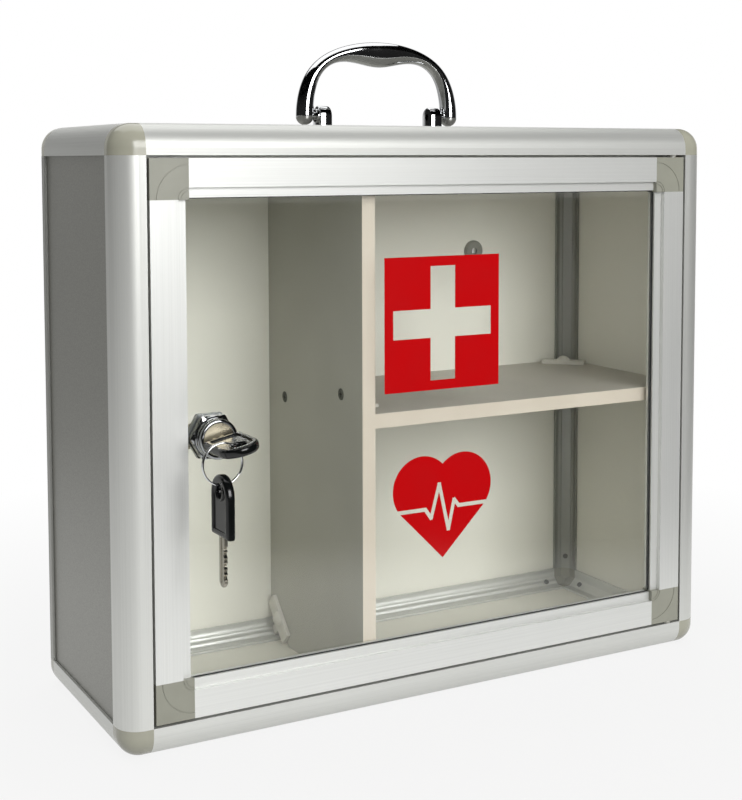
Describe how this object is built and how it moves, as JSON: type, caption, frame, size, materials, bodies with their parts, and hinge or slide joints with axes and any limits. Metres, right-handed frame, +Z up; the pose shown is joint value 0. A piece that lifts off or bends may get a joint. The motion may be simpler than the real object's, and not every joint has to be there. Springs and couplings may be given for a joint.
{
  "type": "lockable medicine cabinet",
  "caption": "Wall cabinet of rounded aluminium extrusions with plastic corners, a hinged glass door with cam lock and keys, a divider, a shelf and a folding carry handle.",
  "frame": {"origin": "on the floor plane under the middle of the whole part's bounding box, keys included", "axes": "+Z up, +X to the right and +Y to the back: the glass door faces -Y and hinges at its +X edge"},
  "size_m": [0.398, 0.1902, 0.3936],
  "materials": {
    "profile": "satin anodised",
    "casing_corner": "glossy grey-beige",
    "wall_panel": "grey laminate on thin fibreboard",
    "board": "pale laminate with light edging",
    "white_plastic": "satin white",
    "screw_steel": "zinc plated",
    "keeper_steel": "zinc plated sheet",
    "bush": "self-lubricating plastic",
    "bracket": "polished",
    "handle": "polished",
    "door_profile": "satin anodised",
    "door_corner": "satin grey-beige",
    "pane": "clear",
    "seal": "black",
    "red_film": "gloss red film",
    "heart_film": "gloss red film",
    "lock_chrome": "polished",
    "plug_brass": "nickel plated brass",
    "key_plastic": "black",
    "key_steel": "nickel plated",
    "ring_steel": "nickel plated"
  },
  "bodies": {
    "casing": {"front_post_left": "profile", "front_post_right": "profile", "front_rail_top": "profile", "front_rail_bottom": "profile", "rear_post_left": "profile", "rear_post_right": "profile", "rear_rail_top": "profile", "rear_rail_bottom": "profile", "side_rail_top_left": "profile", "side_rail_top_right": "profile", "side_rail_bottom_left": "profile", "side_rail_bottom_right": "profile", "corner_front_top_left": "casing_corner", "corner_front_top_right": "casing_corner", "corner_front_bottom_left": "casing_corner", "corner_front_bottom_right": "casing_corner", "corner_rear_top_left": "casing_corner", "corner_rear_top_right": "casing_corner", "corner_rear_bottom_left": "casing_corner", "corner_rear_bottom_right": "casing_corner", "side_panel_left": "wall_panel", "side_panel_right": "wall_panel", "top_panel": "wall_panel", "floor_panel": "wall_panel", "back_panel": "wall_panel", "divider": "board", "shelf": "board", "corner_clips": "white_plastic", "shelf_bracket": "white_plastic", "small_screws": "screw_steel", "wall_washers": "white_plastic", "keeper_plate": "keeper_steel", "hinge_bushes": "bush", "door_bumpers": "white_plastic", "handle_bracket_left": "bracket", "handle_bracket_right": "bracket"},
    "door": {"door_stile_left": "door_profile", "door_stile_right": "door_profile", "door_rail_top": "door_profile", "door_rail_bottom": "door_profile", "door_corner_top_left": "door_corner", "door_corner_top_right": "door_corner", "door_corner_bottom_left": "door_corner", "door_corner_bottom_right": "door_corner", "door_glass": "pane", "glazing_seal": "seal", "cross_sticker": "red_film", "heart_sticker": "heart_film", "hinge_pins": "screw_steel", "lock_barrel": "lock_chrome", "lock_nut": "screw_steel"},
    "handle": {"handle_bail": "handle"},
    "plug": {"lock_plug": "plug_brass", "lock_cam": "plug_brass"},
    "key": {"key_bow": "key_plastic", "key_blade": "key_steel"},
    "ring": {"key_ring": "ring_steel"},
    "spare_key": {"spare_bow": "key_plastic", "spare_blade": "key_steel"}
  },
  "joints": [
    {"name": "door_hinge", "type": "hinge", "parent": "casing", "child": "door", "pos_m": [0.1745, -0.0469, 0.17], "axis": [0, 0, 1], "range_deg": [0, 115]},
    {"name": "handle_swing", "type": "hinge", "parent": "casing", "child": "handle", "pos_m": [0, 0.0281, 0.3474], "axis": [1, 0, 0], "range_deg": [-85, 85]},
    {"name": "lock_turn", "type": "hinge", "parent": "door", "child": "plug", "pos_m": [-0.145, -0.0509, 0.171], "axis": [0, 1, 0], "range_deg": [-45, 45]},
    {"name": "key_slide", "type": "slide", "parent": "plug", "child": "key", "axis": [0, -1, 0], "range_m": [0, 0.028]},
    {"name": "ring_swing", "type": "hinge", "parent": "key", "child": "ring", "pos_m": [-0.1549, -0.0841, 0.17477], "axis": [1, 0, 0], "range_deg": [-12, 12]},
    {"name": "spare_key_swing", "type": "hinge", "parent": "ring", "child": "spare_key", "pos_m": [-0.1549, -0.0841, 0.153], "axis": [1, 0, 0], "range_deg": [-14, 14]}
  ]
}
